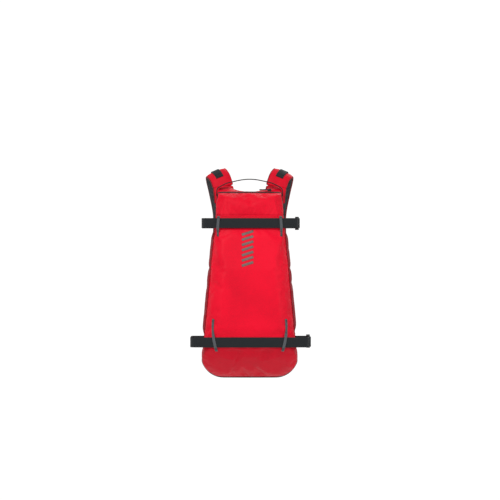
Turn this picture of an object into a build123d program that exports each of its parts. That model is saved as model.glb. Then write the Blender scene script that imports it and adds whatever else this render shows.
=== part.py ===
"""Ski-carry backpack: a 12 to 15 litre touring pack with an A-frame ski carry.

Millimetres. +Z is up, the front faces -Y and the wearer is on the +Y side. The origin is the
centre of the back pad's flat face, where the pack bears on the wearer's back.
"""
from build123d import *
from math import cos, radians, sin
import os

os.makedirs("parts", exist_ok=True)

# ---- driving dimensions -------------------------------------------------------------------
PAD_CENTRE = 240           # height of the back pad's centre above the bag's base
BODY_HEIGHT = 484          # base to the raised top corners
BASE_HALF = 118            # half width at the base
TOP_HALF = 80              # half width at the top
RIDGE_HEIGHT = 78          # where the front meets the sloping base
RIDGE_DEPTH = 152          # how far the ridge stands from the wearer
TOP_FRONT_HEIGHT = 456     # upper front edge
TOP_FRONT_DEPTH = 108
FOLD_HEIGHT = 405          # where the top flap folds
PAD_THICK = 8
WALL = 3                   # fabric with its lining and foam
FRONT_ROUND = 32           # roundness of the front's side folds
SEAM_SETBACK = 34          # the side seam runs this far behind the front
ZIP_Y = -62                # the zip's plane
ZIP_GAP = 0.8              # clearance round the opening flap
ZIP_WIDTH = 7
WEB = 25                   # ski strap webbing
WEB_THICK = 2
LOWER_STRAP_HEIGHT = 90    # middle of the lower ski strap
UPPER_STRAP_HEIGHT = 386   # middle of the upper ski strap
LOOP_REACH = 33            # how far a ski loop stands off the side
STRAP_WIDE = 54            # shoulder strap
STRAP_THICK = 12
STRAP_CENTRE = 68          # its distance from the middle
STRAP_OUT = 80             # and from the back pad
HINGE_HEIGHT = 486         # where a shoulder strap bends
WING_THICK = 12            # hip belt wing
CLEAR = 0.5                # running clearance of pieces that slide

BACK_WALL_Y = -PAD_THICK
SHELL_BACK = BACK_WALL_Y - WALL
SIDES = {"left": -1, "right": 1}
WIDE = 400                 # larger than the pack, for cutting
SLACK = 4                  # the outline cuts only the corners of the form
# Height above the base and depth of the front panel there
FRONT_DEPTHS = ((-4, 149), (RIDGE_HEIGHT, RIDGE_DEPTH), (240, 150), (FOLD_HEIGHT, 125), (492, 96))


def level(height):
    """Z of a height above the bag's base"""
    return height - PAD_CENTRE


def save(builder, name):
    builder.part.label = name
    export_step(builder.part, f"parts/{name}.step")


def save_pair(builder, name):
    """Writes a right-hand piece and its mirror image"""
    save(builder, f"{name}_right")
    with BuildPart() as left:
        add(mirror(builder.part, about=Plane.YZ, mode=Mode.PRIVATE))
    save(left, f"{name}_left")


def half_width(height):
    """Half width of the bag between its base and its top corners"""
    return BASE_HALF + (TOP_HALF - BASE_HALF) * (height - 45) / (450 - 45)


def front_y(height):
    """Y of the front panel at a height"""
    below = [d for d in FRONT_DEPTHS if d[0] <= height][-1]
    above = [d for d in FRONT_DEPTHS if d[0] > height][0]
    part = (height - below[0]) / (above[0] - below[0])
    return -(below[1] + (above[1] - below[1]) * part)


def block(x0, x1, y0, y1, h0, h1):
    """A box between two corners, heights above the base, kept out of any open part"""
    with BuildPart(mode=Mode.PRIVATE) as box:
        with BuildSketch(Plane.XY.offset(level(h0))):
            with Locations(((x0 + x1) / 2, (y0 + y1) / 2)):
                Rectangle(x1 - x0, y1 - y0)
        extrude(amount=h1 - h0)
    return box.part


# ---- the bag's form -----------------------------------------------------------------------
def outline_sketch(inset):
    """Front view: rounded base, sides leaning in, a top that dips between its corners"""
    with BuildSketch(Plane.XZ, mode=Mode.PRIVATE) as outline:
        with BuildLine():
            FilletPolyline(
                (0, level(0)),
                (BASE_HALF, level(0)),
                (BASE_HALF + SLACK, level(75)),
                (TOP_HALF + SLACK, level(450)),
                (TOP_HALF - 6, level(BODY_HEIGHT)),
                (TOP_HALF - 26, level(BODY_HEIGHT - 3)),
                radius=(56, 120, 60, 12),
            )
            ThreePointArc(
                (TOP_HALF - 26, level(BODY_HEIGHT - 3)),
                (TOP_HALF - 52, level(BODY_HEIGHT - 14)),
                (0, level(BODY_HEIGHT - 18)),
            )
            Line((0, level(BODY_HEIGHT - 18)), (0, level(0)))
        make_face()
        mirror(about=Plane.YZ)
        if inset:
            offset(amount=-inset)
    return outline.sketch


def profile_sketch(inset):
    """Side view: straight back, bulging front, base sloping up to the ridge"""
    with BuildSketch(Plane.YZ.offset(-WIDE / 2), mode=Mode.PRIVATE) as profile:
        with BuildLine():
            FilletPolyline(
                (BACK_WALL_Y, level(0)),
                (ZIP_Y, level(0)),
                (-RIDGE_DEPTH - 2, level(RIDGE_HEIGHT)),
                (-RIDGE_DEPTH - 2, level(240)),
                (-TOP_FRONT_DEPTH, level(TOP_FRONT_HEIGHT)),
                (ZIP_Y, level(TOP_FRONT_HEIGHT + 7)),
                (BACK_WALL_Y, level(BODY_HEIGHT)),
                radius=(5, 18, 14, 30, 18, 60, 3),
                close=True,
            )
        make_face()
        if inset:
            offset(amount=-inset)
    return profile.sketch


def bag_form(inset):
    """The filled form of the bag, every side drawn in by inset"""
    with BuildPart(mode=Mode.PRIVATE) as form:
        for height, depth in FRONT_DEPTHS:
            half = half_width(height) - inset
            front = inset - depth
            back = BACK_WALL_Y - inset
            with BuildSketch(Plane.XY.offset(level(height))):
                with BuildLine():
                    FilletPolyline(
                        (-half, back),
                        (-half, front),
                        (half, front),
                        (half, back),
                        radius=FRONT_ROUND - inset,
                    )
                    Line((half, back), (-half, back))
                make_face()
        loft()
        extrude(outline_sketch(inset), amount=WIDE, dir=(0, -1, 0), mode=Mode.INTERSECT)
        extrude(profile_sketch(inset), amount=WIDE, dir=(1, 0, 0), mode=Mode.INTERSECT)
    return form.part


def skin(proud):
    """A layer lying on the bag, this thick"""
    with BuildPart(mode=Mode.PRIVATE) as layer:
        add(bag_form(-proud))
        add(outer, mode=Mode.SUBTRACT)
    return layer.part


outer = bag_form(0)
with BuildPart() as shell:
    add(outer)
    add(bag_form(WALL), mode=Mode.SUBTRACT)
wall = shell.part
FRONT_HEIGHTS = [h for h, _ in FRONT_DEPTHS if RIDGE_HEIGHT <= h <= FOLD_HEIGHT]


# ---- sewn panels --------------------------------------------------------------------------
with BuildPart() as back_wall:
    add(outer)
    add(block(-WIDE, WIDE, SHELL_BACK, WIDE, -9, WIDE * 2), mode=Mode.INTERSECT)
save(back_wall, "back_wall")

with BuildPart() as base_panel:
    add(wall)
    add(block(-WIDE, WIDE, -WIDE, SHELL_BACK, -9, RIDGE_HEIGHT), mode=Mode.INTERSECT)
save(base_panel, "base_panel")

with BuildPart(mode=Mode.PRIVATE) as front_zone:
    with BuildSketch(Plane.YZ.offset(-WIDE / 2)):
        with BuildLine():
            Polyline(
                (-WIDE, level(RIDGE_HEIGHT)),
                *((front_y(h) + SEAM_SETBACK, level(h)) for h in FRONT_HEIGHTS),
                (-WIDE, level(FOLD_HEIGHT)),
                close=True,
            )
        make_face()
    extrude(amount=WIDE)

with BuildPart() as front_panel:
    add(wall)
    add(front_zone.part, mode=Mode.INTERSECT)
save(front_panel, "front_panel")

with BuildPart() as side_panel:
    add(wall)
    add(block(20, WIDE, -WIDE, SHELL_BACK, RIDGE_HEIGHT, FOLD_HEIGHT), mode=Mode.INTERSECT)
    add(front_zone.part, mode=Mode.SUBTRACT)
save_pair(side_panel, "side_panel")

with BuildPart() as rear_gusset:
    add(wall)
    add(block(-WIDE, WIDE, ZIP_Y, SHELL_BACK, FOLD_HEIGHT, WIDE * 2), mode=Mode.INTERSECT)
save(rear_gusset, "rear_gusset")

with BuildPart() as top_flap:
    add(wall)
    add(block(-WIDE, WIDE, -WIDE, ZIP_Y - ZIP_GAP, FOLD_HEIGHT + ZIP_GAP, WIDE * 2),
        mode=Mode.INTERSECT)
save(top_flap, "top_flap")


# ---- zip ----------------------------------------------------------------------------------
TAPE_THICK = 1.2
TAPE_START = FOLD_HEIGHT + 6
zip_layer = skin(TAPE_THICK)

with BuildPart() as zip_tape_rear:
    add(zip_layer)
    add(block(-WIDE, WIDE, ZIP_Y, ZIP_Y + ZIP_WIDTH, TAPE_START, WIDE * 2),
        mode=Mode.INTERSECT)
save(zip_tape_rear, "zip_tape_rear")

with BuildPart() as zip_tape_flap:
    add(zip_layer)
    add(block(-WIDE, WIDE, ZIP_Y - ZIP_GAP - ZIP_WIDTH, ZIP_Y - ZIP_GAP, TAPE_START, WIDE * 2),
        mode=Mode.INTERSECT)
save(zip_tape_flap, "zip_tape_flap")

SLIDER_X = 50              # where the slider rests when the flap is closed
SLIDER_TILT = 15           # slope of the top at the zip
SLIDER_LONG, SLIDER_WIDE, SLIDER_TALL = 11, 9, 3
PULL_LONG, PULL_WIDE, PULL_THICK = 26, 7, 1.6
slider_plane = Plane(
    origin=(SLIDER_X, ZIP_Y - ZIP_GAP / 2, level(TOP_FRONT_HEIGHT + 8.2) + TAPE_THICK),
    x_dir=(1, 0, 0),
    z_dir=(0, -sin(radians(SLIDER_TILT)), cos(radians(SLIDER_TILT))),
)
LUG_TOP = CLEAR + SLIDER_TALL + 4

with BuildPart() as zip_slider:
    with BuildSketch(slider_plane.offset(CLEAR)):
        RectangleRounded(SLIDER_LONG, SLIDER_WIDE, 3)
    extrude(amount=SLIDER_TALL)
    with BuildSketch(slider_plane.offset(CLEAR + SLIDER_TALL)):
        with GridLocations(0, PULL_WIDE - 1.5, 1, 2):
            Rectangle(5, 1.2)
    extrude(amount=4)
save(zip_slider, "zip_slider")

with BuildPart() as zip_pull:
    with BuildSketch(slider_plane.offset(LUG_TOP - 3)):
        with Locations((-PULL_LONG / 2 + 1, 0)):
            RectangleRounded(PULL_LONG, 3.4, 1.6)
        with Locations((-PULL_LONG + 6, 0)):
            RectangleRounded(12, PULL_WIDE, 2)
            Circle(1.6, mode=Mode.SUBTRACT)
    extrude(amount=PULL_THICK)
save(zip_pull, "zip_pull")


# ---- haul handle --------------------------------------------------------------------------
HANDLE_Y = -35
HANDLE_WIDE = 22
HANDLE_FOOT = 455          # where the handle leaves its side tacks
HANDLE_TOP = 500
HANDLE_PIVOT = HANDLE_FOOT + HANDLE_WIDE / 2

with BuildPart() as haul_handle:
    with BuildSketch(Plane.XZ.offset(-HANDLE_Y - HANDLE_WIDE / 2)):
        with BuildLine():
            FilletPolyline(
                (-TOP_HALF - 3.5, level(HANDLE_FOOT)),
                (-TOP_HALF - 2.5, level(HANDLE_FOOT + 20)),
                (-TOP_HALF + 22, level(HANDLE_TOP - 12)),
                (0, level(HANDLE_TOP + 1)),
                (TOP_HALF - 22, level(HANDLE_TOP - 12)),
                (TOP_HALF + 2.5, level(HANDLE_FOOT + 20)),
                (TOP_HALF + 3.5, level(HANDLE_FOOT)),
                radius=(10, 50, 150, 50, 10),
            )
        trace(line_width=WEB_THICK)
    extrude(amount=HANDLE_WIDE)
    with BuildSketch(Plane.YZ.offset(-WIDE / 2)):
        with Locations((HANDLE_Y, level(HANDLE_PIVOT))):
            Circle(HANDLE_WIDE / 2)
        with Locations((HANDLE_Y, level(HANDLE_PIVOT + 50))):
            Rectangle(HANDLE_WIDE, 100)
    extrude(amount=WIDE, mode=Mode.INTERSECT)
save(haul_handle, "haul_handle")

with BuildPart() as handle_tack:
    add(block(TOP_HALF - 4, TOP_HALF + 4.5, HANDLE_Y - HANDLE_WIDE / 2, HANDLE_Y + HANDLE_WIDE / 2,
              HANDLE_FOOT - 30, HANDLE_FOOT - 1))
    add(outer, mode=Mode.SUBTRACT)
save_pair(handle_tack, "handle_tack")


# ---- ski straps ---------------------------------------------------------------------------
ANCHOR_Y = -38             # where a strap is sewn to the side
ANCHOR_PROUD = 2.5
STRAP_PROUD = 1.2          # gap between the front panel and a strap
BUCKLE_Y = -72             # mouth of the buckle's socket
BUCKLE_DEEP = 9            # thickness of a buckle
SOCKET_LONG = 24
TONGUE_LONG = 26
PRONG_LONG = 13
KEEPER_WIDE = 7            # grey band over a ski strap
KEEPER_THICK = 1.6


def strap_course(height, start_y):
    """Webbing in plan from the left anchor, across the front, to the right-hand buckle"""
    foot = half_width(height) + ANCHOR_PROUD
    reach = half_width(height) + LOOP_REACH
    front = front_y(height - WEB / 2) - WEB_THICK / 2 - STRAP_PROUD
    return (
        (-foot, ANCHOR_Y),
        (-reach, ANCHOR_Y),
        (-reach, front),
        (reach, front),
        (reach, start_y),
    )


def ski_strap(name, height):
    """One ski strap: webbing, its short rear end, both sewn tabs and a side-release buckle"""
    foot = half_width(height) + ANCHOR_PROUD
    reach = half_width(height) + LOOP_REACH
    low = Plane.XY.offset(level(height - WEB / 2))

    with BuildPart() as webbing:
        with BuildSketch(low):
            with BuildLine():
                FilletPolyline(*strap_course(height, BUCKLE_Y - TONGUE_LONG + 5),
                               radius=(12, 20, 12))
            trace(line_width=WEB_THICK)
        extrude(amount=WEB)
    save(webbing, f"ski_strap_{name}")

    with BuildPart() as tail:
        with BuildSketch(low):
            with BuildLine():
                FilletPolyline(
                    (foot, ANCHOR_Y), (reach, ANCHOR_Y), (reach, BUCKLE_Y + SOCKET_LONG - 6),
                    radius=5)
            trace(line_width=WEB_THICK)
        extrude(amount=WEB)
    save(tail, f"ski_strap_{name}_tail")

    with BuildPart() as tabs:
        for side in SIDES.values():
            edge = (side * (foot - 12), side * foot)
            add(block(min(edge), max(edge), ANCHOR_Y - 12, ANCHOR_Y + 12,
                      height - WEB / 2, height + WEB / 2))
        add(outer, mode=Mode.SUBTRACT)
    save(tabs, f"strap_tabs_{name}")

    half = WEB / 2 + 4
    with BuildPart() as socket:
        add(block(reach - BUCKLE_DEEP / 2, reach + BUCKLE_DEEP / 2,
                  BUCKLE_Y, BUCKLE_Y + SOCKET_LONG, height - half, height + half))
        add(block(reach - 3, reach + 3, BUCKLE_Y, BUCKLE_Y + PRONG_LONG + 1,
                  height - half + 2, height + half - 2), mode=Mode.SUBTRACT)
        add(block(reach - 1.4, reach + 1.4, BUCKLE_Y + PRONG_LONG + 1, BUCKLE_Y + SOCKET_LONG,
                  height - WEB / 2 - CLEAR, height + WEB / 2 + CLEAR), mode=Mode.SUBTRACT)
    save(socket, f"buckle_socket_{name}")

    with BuildPart() as tongue:
        add(block(reach - BUCKLE_DEEP / 2, reach + BUCKLE_DEEP / 2,
                  BUCKLE_Y - TONGUE_LONG, BUCKLE_Y - CLEAR, height - half, height + half))
        for edge in (-1, 1):
            middle = height + edge * (half - 6)
            add(block(reach - 2.4, reach + 2.4, BUCKLE_Y - 1, BUCKLE_Y + PRONG_LONG,
                      middle - 3, middle + 3))
        add(block(reach - 1.7, reach + 1.7, BUCKLE_Y - TONGUE_LONG, BUCKLE_Y - 6,
                  height - WEB / 2 - CLEAR, height + WEB / 2 + CLEAR), mode=Mode.SUBTRACT)
    save(tongue, f"buckle_tongue_{name}")


def keeper(name, side_x, strap_height, low, high):
    """A pair of grey bands on the side folds that hold a ski strap against the front"""
    strap_front = front_y(strap_height - WEB / 2) - STRAP_PROUD - WEB_THICK - KEEPER_THICK
    with BuildPart() as bands:
        for side in SIDES.values():
            with BuildSketch(Plane.YZ.offset(side * side_x - KEEPER_WIDE / 2)):
                with BuildLine():
                    FilletPolyline(
                        (strap_front + 34, level(high)),
                        (strap_front, level(high - 1)),
                        (strap_front, level(strap_height - WEB / 2 - 6)),
                        (strap_front + 34, level(low)),
                        radius=(1.5, 8),
                    )
                trace(line_width=KEEPER_THICK)
            extrude(amount=KEEPER_WIDE)
        add(outer, mode=Mode.SUBTRACT)
    save(bands, f"strap_keepers_{name}")


ski_strap("upper", UPPER_STRAP_HEIGHT)
ski_strap("lower", LOWER_STRAP_HEIGHT)
keeper("upper", 80, UPPER_STRAP_HEIGHT, 346, FOLD_HEIGHT - 2.5)
keeper("lower", 90, LOWER_STRAP_HEIGHT, 62, 146)


# ---- base piping and reflective mark ------------------------------------------------------
PIPING_Y = ZIP_Y + 6

with BuildPart() as base_piping:
    add(skin(2))
    add(block(-WIDE, WIDE, PIPING_Y - 2, PIPING_Y + 2, -9, RIDGE_HEIGHT), mode=Mode.INTERSECT)
save(base_piping, "base_piping")

MARK_LOW, MARK_HIGH = 278, 368
MARK_BARS = 7
MARK_HALF = 15

with BuildPart() as reflective_mark:
    bar_pitch = (MARK_HIGH - MARK_LOW) / MARK_BARS
    with BuildSketch(Plane.XZ.offset(-ZIP_Y)):
        with Locations((-5, level((MARK_LOW + MARK_HIGH) / 2))):
            with GridLocations(0, bar_pitch, 1, MARK_BARS):
                Rectangle(2 * MARK_HALF, bar_pitch * 0.5, rotation=18)
    extrude(amount=WIDE)
    add(skin(0.5), mode=Mode.INTERSECT)
save(reflective_mark, "reflective_mark")


# ---- back panel and inside ----------------------------------------------------------------
PAD_HALF = 66
PAD_LOW, PAD_HIGH = 128, 424
LUMBAR_HALF = 96
LUMBAR_LOW, LUMBAR_HIGH = 42, 118
SHEET_WIDE, SHEET_TALL, SHEET_THICK = 130, 380, 1.6
SLEEVE_WIDE, SLEEVE_TALL, SLEEVE_THICK = 160, 300, 1.2
SLEEVE_OUT = 12            # gap between the sleeve and the back wall

with BuildPart() as back_pad:
    with BuildSketch(Plane.XZ.offset(-BACK_WALL_Y)):
        with Locations((0, level((PAD_LOW + PAD_HIGH) / 2))):
            RectangleRounded(2 * PAD_HALF, PAD_HIGH - PAD_LOW, 24)
    extrude(amount=-PAD_THICK)
    fillet(back_pad.faces().sort_by(Axis.Y)[-1].edges(), 3)
save(back_pad, "back_pad")

with BuildPart() as lumbar_pad:
    with BuildSketch(Plane.XZ.offset(-BACK_WALL_Y)):
        with Locations((0, level((LUMBAR_LOW + LUMBAR_HIGH) / 2))):
            RectangleRounded(2 * LUMBAR_HALF, LUMBAR_HIGH - LUMBAR_LOW, 10)
    extrude(amount=-PAD_THICK)
    fillet(lumbar_pad.faces().sort_by(Axis.Y)[-1].edges(), 3)
save(lumbar_pad, "lumbar_pad")

with BuildPart() as frame_sheet:
    with BuildSketch(Plane.XZ.offset(-SHELL_BACK + 0.4)):
        with Locations((0, level(225))):
            RectangleRounded(SHEET_WIDE, SHEET_TALL, 30)
    extrude(amount=SHEET_THICK)
save(frame_sheet, "frame_sheet")

with BuildPart() as inner_sleeve:
    with BuildSketch(Plane.XZ.offset(-SHELL_BACK + SLEEVE_OUT)):
        with Locations((0, level(190))):
            RectangleRounded(SLEEVE_WIDE, SLEEVE_TALL, 20)
    extrude(amount=SLEEVE_THICK)
    for edge in (-SLEEVE_WIDE / 2, SLEEVE_WIDE / 2 - 2):
        add(block(edge, edge + 2, SHELL_BACK - SLEEVE_OUT, SHELL_BACK, 60, 320))
save(inner_sleeve, "inner_sleeve")


# ---- shoulder straps ----------------------------------------------------------------------
# Centre line of the right-hand strap: distance out, Y and height
STRAP_COURSE = (
    (68, 2, HINGE_HEIGHT - 4),
    (76, 14, 504),
    (86, 38, 515),
    (86, 62, 502),
    (78, 76, 466),
    (STRAP_CENTRE, STRAP_OUT, 410),
    (STRAP_CENTRE, STRAP_OUT, 340),
    (STRAP_CENTRE, STRAP_OUT, 270),
    (70, 75, 205),
)
STRAP_LEAN = 26            # outward lean of the strap over the shoulder, in degrees
YOKE_COURSE = ((64, -2, 436), (65, -2, 458), (68, 2, HINGE_HEIGHT - 5.2))


def lean_at(part):
    """The strap leans out most over the shoulder, a fifth of the way along"""
    return radians(STRAP_LEAN) * max(0, 1 - abs(part - 0.14) / 0.22)


def band(course, wide, thick, corner, sections, start=0.0, stop=1.0, lift=0.0, leans=True):
    """A soft band along a smooth course, lifted off it towards its outer face"""
    path = Spline([(x, y, level(h)) for x, y, h in course])
    with BuildPart(mode=Mode.PRIVATE) as strip:
        for step in range(sections):
            part = start + (stop - start) * step / (sections - 1)
            along = path % part
            lean = lean_at(part) if leans else 0
            across = Vector(cos(lean), 0, -sin(lean))
            across = (across - along * across.dot(along)).normalized()
            outward = across.cross(along)
            with BuildSketch(Plane(path @ part + outward * lift, across, along)):
                RectangleRounded(wide, thick, corner)
        loft(ruled=True)
    return strip.part


with BuildPart() as strap_yoke:
    add(band(YOKE_COURSE, STRAP_WIDE, STRAP_THICK, 5, 5, leans=False))
    add(block(0, WIDE, -WIDE, BACK_WALL_Y, 0, WIDE * 2), mode=Mode.SUBTRACT)
save_pair(strap_yoke, "strap_yoke")

with BuildPart() as shoulder_strap:
    add(band(STRAP_COURSE, STRAP_WIDE, STRAP_THICK, 5, 26))
save_pair(shoulder_strap, "shoulder_strap")

with BuildPart() as strap_webbing:
    add(band(STRAP_COURSE, 20, 1.6, 0.6, 14, 0.06, 0.46, STRAP_THICK / 2 + 1.6))
save_pair(strap_webbing, "strap_webbing")

RAIL_Y = STRAP_OUT + STRAP_THICK / 2 + 4
RAIL_LOW, RAIL_HIGH = 272, 392
STERNUM_HEIGHT = 332

with BuildPart() as sternum_rail:
    add(block(STRAP_CENTRE - 4, STRAP_CENTRE + 4, RAIL_Y, RAIL_Y + 1.6, RAIL_LOW, RAIL_HIGH))
    for foot_height in (RAIL_LOW, RAIL_HIGH - 6):
        add(block(STRAP_CENTRE - 4, STRAP_CENTRE + 4, STRAP_OUT + STRAP_THICK / 2 - 0.5, RAIL_Y,
                  foot_height, foot_height + 6))
    add(shoulder_strap.part, mode=Mode.SUBTRACT)
save_pair(sternum_rail, "sternum_rail")

with BuildPart() as sternum_clip:
    add(block(STRAP_CENTRE - 9, STRAP_CENTRE + 7, RAIL_Y - 2.4, RAIL_Y + 4,
              STERNUM_HEIGHT - 10, STERNUM_HEIGHT + 10))
    add(block(STRAP_CENTRE - 4.6, STRAP_CENTRE + 4.6, RAIL_Y - CLEAR, RAIL_Y + 1.6 + CLEAR,
              STERNUM_HEIGHT - 11, STERNUM_HEIGHT + 11), mode=Mode.SUBTRACT)
save_pair(sternum_clip, "sternum_clip")

with BuildPart() as sternum_web:
    add(block(24, STRAP_CENTRE - 9, RAIL_Y + 1, RAIL_Y + 2.6,
              STERNUM_HEIGHT - 9, STERNUM_HEIGHT + 9))
save_pair(sternum_web, "sternum_web")


def buckle_half(name, inner_x, outer_x, middle_y, height, tall, thick, side):
    """Half of an open side-release buckle: a socket on the left, a tongue on the right"""
    ends = sorted((side * inner_x, side * outer_x))
    with BuildPart() as half:
        add(block(*ends, middle_y - thick / 2, middle_y + thick / 2,
                  height - tall / 2, height + tall / 2))
        if side < 0:
            add(block(ends[1] - 12, ends[1], middle_y - thick / 2 + 1.4,
                      middle_y + thick / 2 - 1.4, height - tall / 2 + 2, height + tall / 2 - 2),
                mode=Mode.SUBTRACT)
        else:
            for edge in (-1, 1):
                prong = height + edge * (tall / 2 - 4)
                add(block(ends[0] - 7, ends[0], middle_y - 1.5, middle_y + 1.5,
                          prong - 2, prong + 2))
    save(half, name)


buckle_half("sternum_tongue", 12, 24, RAIL_Y + 1.8, STERNUM_HEIGHT, 22, 6, 1)
buckle_half("sternum_socket", 2, 24, RAIL_Y + 1.8, STERNUM_HEIGHT, 22, 6, -1)

LOCK_TOP = 204
with BuildPart() as ladder_lock:
    lock_plane = Plane(origin=(70, 73.6, level(LOCK_TOP)), x_dir=(1, 0, 0),
                       z_dir=(0, -0.12, -1))
    with BuildSketch(lock_plane):
        RectangleRounded(28, 5, 1.5)
    extrude(amount=24)
    with BuildSketch(lock_plane.offset(14)):
        Rectangle(22, 9)
    extrude(amount=7, mode=Mode.SUBTRACT)
save_pair(ladder_lock, "ladder_lock")

LOCK_FOOT = Vector(72, 68.0, level(LOCK_TOP - 28.5))
TAIL_FOOT = Vector(101, -2, level(146))
with BuildPart() as strap_tail:
    run = TAIL_FOOT - LOCK_FOOT
    with BuildSketch(Plane(origin=LOCK_FOOT, x_dir=(1, 0, 0.3), z_dir=run)):
        Rectangle(20, 1.8)
    extrude(amount=run.length)
save_pair(strap_tail, "strap_tail")

with BuildPart() as tail_anchor:
    with BuildSketch(Plane.XZ.offset(-BACK_WALL_Y)):
        with Locations((97, level(137))):
            Trapezoid(24, 22, 70)
    extrude(amount=-3)
    fillet(tail_anchor.edges().filter_by(Axis.Y), 2)
save_pair(tail_anchor, "tail_anchor")


# ---- hip belt -----------------------------------------------------------------------------
WING_X = 104
WING_Y = -1
WING_LOW, WING_HIGH = 46, 112
BELT_HEIGHT = (WING_LOW + WING_HIGH) / 2
WING_COURSE = ((WING_X, WING_Y), (WING_X + 2, 60), (92, 112), (72, 138))

with BuildPart() as hip_wing:
    with BuildSketch(Plane.XY.offset(level(WING_LOW))):
        with BuildLine():
            FilletPolyline(*WING_COURSE, radius=(90, 60))
        trace(line_width=WING_THICK)
        with Locations(WING_COURSE[0]):
            Circle(WING_THICK / 2)
    extrude(amount=WING_HIGH - WING_LOW)
    with BuildSketch(Plane.YZ):
        with BuildLine():
            FilletPolyline(
                (-20, level(WING_LOW)), (60, level(WING_LOW)), (WIDE, level(WING_LOW + 76)),
                (WIDE, level(WING_HIGH - 76)), (60, level(WING_HIGH)), (-20, level(WING_HIGH)),
                radius=(60, 1, 1, 60, 1, 1), close=True,
            )
        make_face()
    extrude(amount=WIDE, mode=Mode.INTERSECT)
save_pair(hip_wing, "hip_wing")

with BuildPart() as hip_web:
    with BuildSketch(Plane.XY.offset(level(BELT_HEIGHT - WEB / 2))):
        with BuildLine():
            FilletPolyline((68, 143.5), (46, 158), (26.3, 162), radius=60)
        trace(line_width=WEB_THICK)
    extrude(amount=WEB)
    add(hip_wing.part, mode=Mode.SUBTRACT)
save_pair(hip_web, "hip_web")

buckle_half("hip_tongue", 13, 26, 162, BELT_HEIGHT, 33, 9, 1)
buckle_half("hip_socket", 2, 26, 162, BELT_HEIGHT, 33, 9, -1)
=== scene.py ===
"""The looks of a ski-carry backpack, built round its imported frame. Metres, +Z up, front at -Y."""
import math

import bmesh
import bpy
from mathutils import Matrix, Vector, noise
from mathutils.bvhtree import BVHTree


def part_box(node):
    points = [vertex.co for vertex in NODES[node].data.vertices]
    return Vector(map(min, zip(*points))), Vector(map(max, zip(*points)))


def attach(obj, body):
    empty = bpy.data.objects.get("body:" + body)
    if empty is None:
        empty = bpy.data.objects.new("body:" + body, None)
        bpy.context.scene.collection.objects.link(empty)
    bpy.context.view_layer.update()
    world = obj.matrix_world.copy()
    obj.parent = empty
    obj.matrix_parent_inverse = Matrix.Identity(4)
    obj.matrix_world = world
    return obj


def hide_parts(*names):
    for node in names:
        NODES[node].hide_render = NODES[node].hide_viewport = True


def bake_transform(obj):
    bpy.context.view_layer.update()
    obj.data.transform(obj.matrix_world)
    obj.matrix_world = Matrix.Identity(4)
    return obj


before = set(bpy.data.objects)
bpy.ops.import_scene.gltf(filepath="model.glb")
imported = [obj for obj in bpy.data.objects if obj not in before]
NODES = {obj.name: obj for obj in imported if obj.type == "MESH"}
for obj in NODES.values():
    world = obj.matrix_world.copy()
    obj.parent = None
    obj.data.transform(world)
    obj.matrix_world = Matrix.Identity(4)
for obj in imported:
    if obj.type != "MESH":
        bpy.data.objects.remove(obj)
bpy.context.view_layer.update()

# ---- sizes repeated from the design ----
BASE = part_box("base_panel")[0][2]          # the bag's base
RIDGE = BASE + 0.078                       # front meets the sloping base
FOLD = BASE + 0.405                        # fold of the top flap
ZIP_Y = -0.0624
BACK_Y = -0.008
SEAM_LINE = ((-0.118, RIDGE), (-0.116, BASE + 0.240), (-0.091, FOLD))
STRAP_HEIGHTS = {"upper": BASE + 0.386, "lower": BASE + 0.090}
WEB = 0.025
LOOP_REACH = 0.033
SIDES = {"left": -1, "right": 1}
MM = 0.001


def half_width(z):
    """Half width of the bag at a height"""
    return 0.118 - 0.038 * (z - BASE - 0.045) / 0.405


# ---- camera, floor and light ----
VIEW_WIDTH = 1.25
CAMERA_AWAY = 6.0
CAMERA_AIM = (0.001, -0.1, BASE + 0.319)


def make_stage():
    """A level far camera, a pale floor below and soft light all round"""
    lens = bpy.data.cameras.new("camera")
    lens.sensor_width = 36
    lens.lens = lens.sensor_width * CAMERA_AWAY / VIEW_WIDTH
    lens.clip_end = 50
    camera = bpy.data.objects.new("camera", lens)
    camera.location = (CAMERA_AIM[0], CAMERA_AIM[1] - CAMERA_AWAY, CAMERA_AIM[2])
    camera.rotation_euler = (math.pi / 2, 0, 0)
    bpy.context.scene.collection.objects.link(camera)
    bpy.context.scene.camera = camera

    half = 0.95
    floor = from_points("floor", [(-half, -half, 0), (half, -half, 0), (half, half, 0), (-half, half, 0)],
                        [(0, 1, 2, 3)])
    floor.location = (0, 0, BASE - 0.46)
    floor.data.materials.append(plain("floor_white", (0.9, 0.9, 0.9), 0.8))

    world = bpy.data.worlds.new("studio")
    world.use_nodes = True
    light_it = world.node_tree.nodes["Background"]
    light_it.inputs["Color"].default_value = (1, 1, 1, 1)
    ray = world.node_tree.nodes.new("ShaderNodeLightPath")
    level = world.node_tree.nodes.new("ShaderNodeMapRange")
    level.inputs["To Min"].default_value = 0.5
    level.inputs["To Max"].default_value = 1.05
    world.node_tree.links.new(ray.outputs["Is Camera Ray"], level.inputs["Value"])
    world.node_tree.links.new(level.outputs["Result"], light_it.inputs["Strength"])
    bpy.context.scene.world = world
    bpy.context.scene.view_settings.view_transform = "Standard"
    for name, place, size, power in (
        ("key", (-1.6, -2.6, 2.2), 1.6, 60),
        ("fill", (2.4, -2.2, 0.6), 2.0, 24),
        ("rim", (0.8, 2.6, 2.0), 1.6, 26),
    ):
        lamp = bpy.data.lights.new(name, "AREA")
        lamp.energy = power
        lamp.size = size
        light = bpy.data.objects.new(name, lamp)
        light.location = place
        light.rotation_euler = (Vector((0, 0, 0)) - Vector(place)).to_track_quat("-Z", "Y").to_euler()
        bpy.context.scene.collection.objects.link(light)


def link(name, mesh):
    obj = bpy.data.objects.new(name, mesh)
    bpy.context.scene.collection.objects.link(obj)
    return obj


def from_points(name, points, faces):
    mesh = bpy.data.meshes.new(name)
    mesh.from_pydata(points, [], faces)
    return link(name, mesh)


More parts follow.
